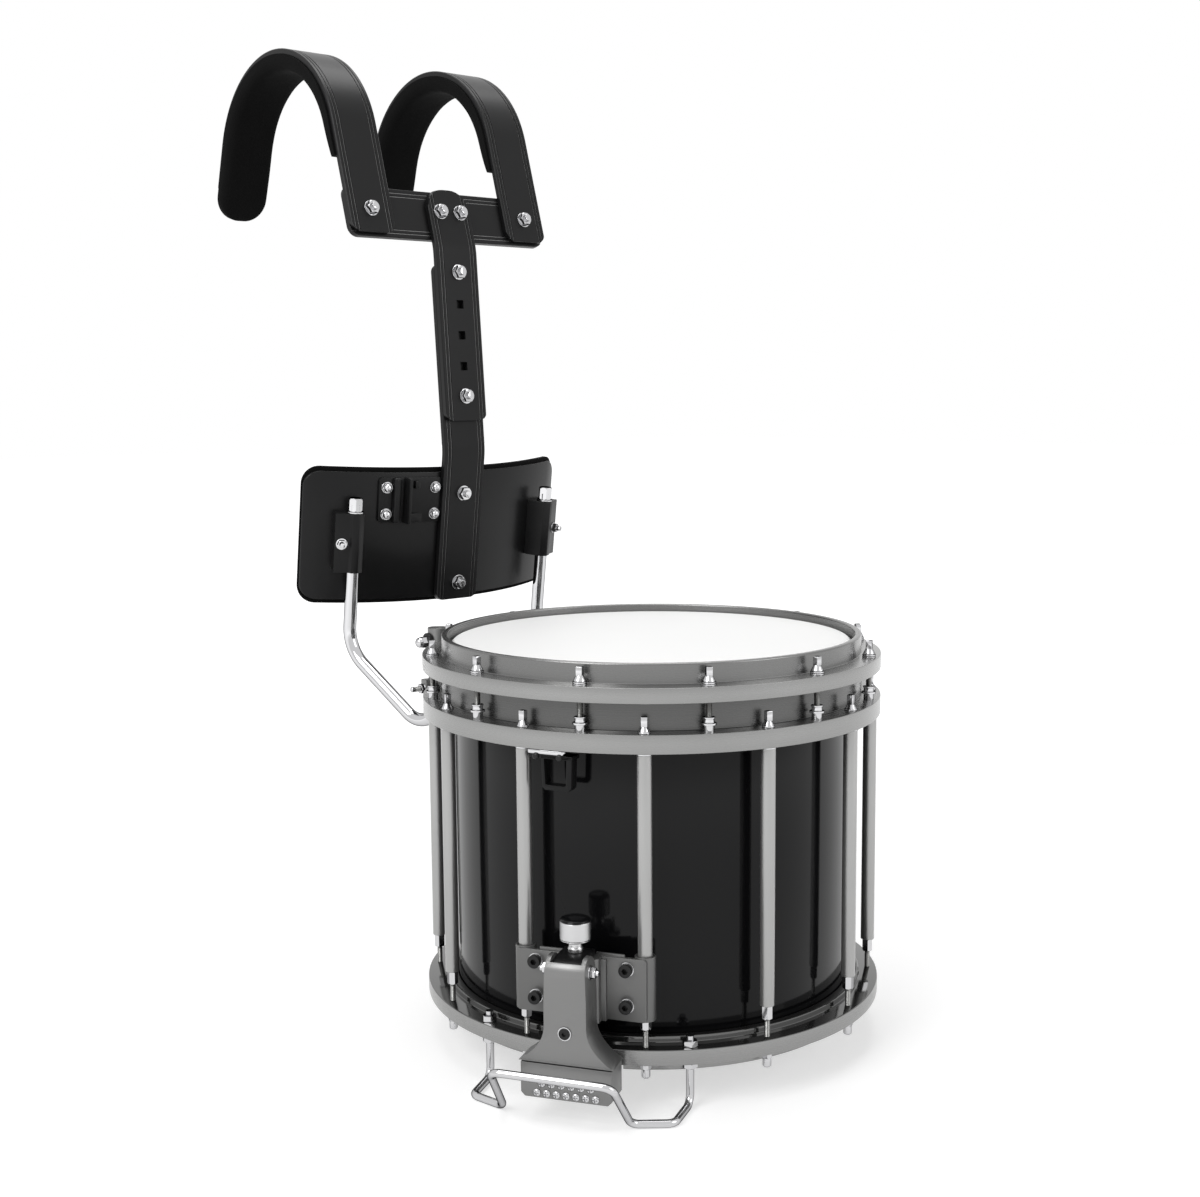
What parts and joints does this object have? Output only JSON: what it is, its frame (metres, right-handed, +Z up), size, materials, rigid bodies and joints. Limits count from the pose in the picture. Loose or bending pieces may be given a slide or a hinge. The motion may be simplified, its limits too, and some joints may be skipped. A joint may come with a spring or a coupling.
{
  "type": "marching snare drum",
  "caption": "Marching snare drum with high-tension hoops and throw-off strainer, hung by J rods on a shoulder carrier with belly plate and padded straps.",
  "frame": {"origin": "centre of the batter head's top face", "axes": "+Z up along the drum's axis, +Y toward the player and the carrier, +X to the right as seen from the front of the drum looking at the player"},
  "size_m": [0.5098, 0.7432, 0.9133],
  "materials": {
    "gloss_shell": "gloss",
    "cast_grey": "satin",
    "head_white": "matte",
    "chrome_steel": "polished",
    "tube_grey": "satin",
    "satin_black": "satin",
    "foam_black": "matte"
  },
  "bodies": {
    "drum": {"shell": "gloss_shell", "edge_ring": "cast_grey", "batter_head": "head_white", "top_hoop": "cast_grey", "snare_head": "head_white", "bottom_hoop": "cast_grey", "tension_bolt_01": "chrome_steel", "tension_bolt_02": "chrome_steel", "tension_bolt_03": "chrome_steel", "tension_bolt_04": "chrome_steel", "tension_bolt_05": "chrome_steel", "tension_bolt_06": "chrome_steel", "tension_bolt_07": "chrome_steel", "tension_bolt_08": "chrome_steel", "tension_bolt_09": "chrome_steel", "tension_bolt_10": "chrome_steel", "tension_bolt_11": "chrome_steel", "tension_bolt_12": "chrome_steel", "tension_tube_01": "tube_grey", "tension_tube_02": "tube_grey", "tension_tube_03": "tube_grey", "tension_tube_04": "tube_grey", "tension_tube_05": "tube_grey", "tension_tube_06": "tube_grey", "tension_tube_07": "tube_grey", "tension_tube_08": "tube_grey", "tension_tube_09": "tube_grey", "tension_tube_10": "tube_grey", "tension_tube_11": "tube_grey", "tension_tube_12": "tube_grey", "strainer_plate": "cast_grey", "strainer_head": "satin_black", "butt_plate": "cast_grey", "butt_carriage": "cast_grey", "strainer_guard": "chrome_steel", "butt_guard": "chrome_steel", "bracket_strip": "chrome_steel", "bracket_loop": "satin_black", "left_receiver": "cast_grey", "right_receiver": "cast_grey"},
    "throw_lever": {"throw_lever": "cast_grey"},
    "snare_carriage": {"snare_carriage": "cast_grey"},
    "snare_wires": {"snare_wires": "chrome_steel"},
    "adjuster_knob": {"adjuster_knob": "chrome_steel"},
    "j_rods": {"left_j_rod": "chrome_steel", "right_j_rod": "chrome_steel"},
    "carrier": {"left_rod_block": "satin_black", "right_rod_block": "satin_black", "belly_plate": "satin_black", "belly_pad": "foam_black", "clip_bracket": "satin_black", "lower_bar": "satin_black"},
    "yoke": {"upper_bar": "satin_black", "crossbar": "satin_black"},
    "left_shoulder": {"left_shoulder_bar": "satin_black", "left_shoulder_pad": "foam_black"},
    "right_shoulder": {"right_shoulder_bar": "satin_black", "right_shoulder_pad": "foam_black"}
  },
  "joints": [
    {"name": "lever_throw", "type": "hinge", "parent": "drum", "child": "throw_lever", "pos_m": [-0.19661, -0.11351, -0.2323], "axis": [-0.5, 0.866, 0], "range_deg": [0, 75]},
    {"name": "snare_drop", "type": "slide", "parent": "drum", "child": "snare_carriage", "axis": [0, 0, -1], "range_m": [0, 0.006]},
    {"name": "wires_swing", "type": "hinge", "parent": "drum", "child": "snare_wires", "pos_m": [0.18413, 0.10631, -0.3217], "axis": [0.5, -0.866, 0], "range_deg": [0, 0.81]},
    {"name": "knob_turn", "type": "hinge", "parent": "drum", "child": "adjuster_knob", "pos_m": [-0.18405, -0.10626, -0.2133], "axis": [0, 0, 1], "continuous": true},
    {"name": "rods_height", "type": "slide", "parent": "drum", "child": "j_rods", "axis": [0, 0, 1], "range_m": [-0.04, 0]},
    {"name": "plate_height", "type": "slide", "parent": "j_rods", "child": "carrier", "axis": [0, -0.1323, 0.9912], "range_m": [-0.045, 0]},
    {"name": "yoke_height", "type": "slide", "parent": "carrier", "child": "yoke", "axis": [0, 0.0727, 0.9974], "range_m": [0, 0.061]},
    {"name": "left_shoulder_swing", "type": "hinge", "parent": "yoke", "child": "left_shoulder", "pos_m": [-0.0938, 0.2918, 0.3942], "axis": [0, -0.9613, 0.2756], "range_deg": [-10, 10]},
    {"name": "right_shoulder_swing", "type": "hinge", "parent": "yoke", "child": "right_shoulder", "pos_m": [0.0938, 0.2918, 0.3942], "axis": [0, -0.9613, 0.2756], "range_deg": [-10, 10]}
  ],
  "couplings": [
    {"joint": "snare_drop", "follows": "lever_throw", "m_per_rad": 0.004583},
    {"joint": "wires_swing", "follows": "lever_throw", "ratio": 0.01076}
  ]
}
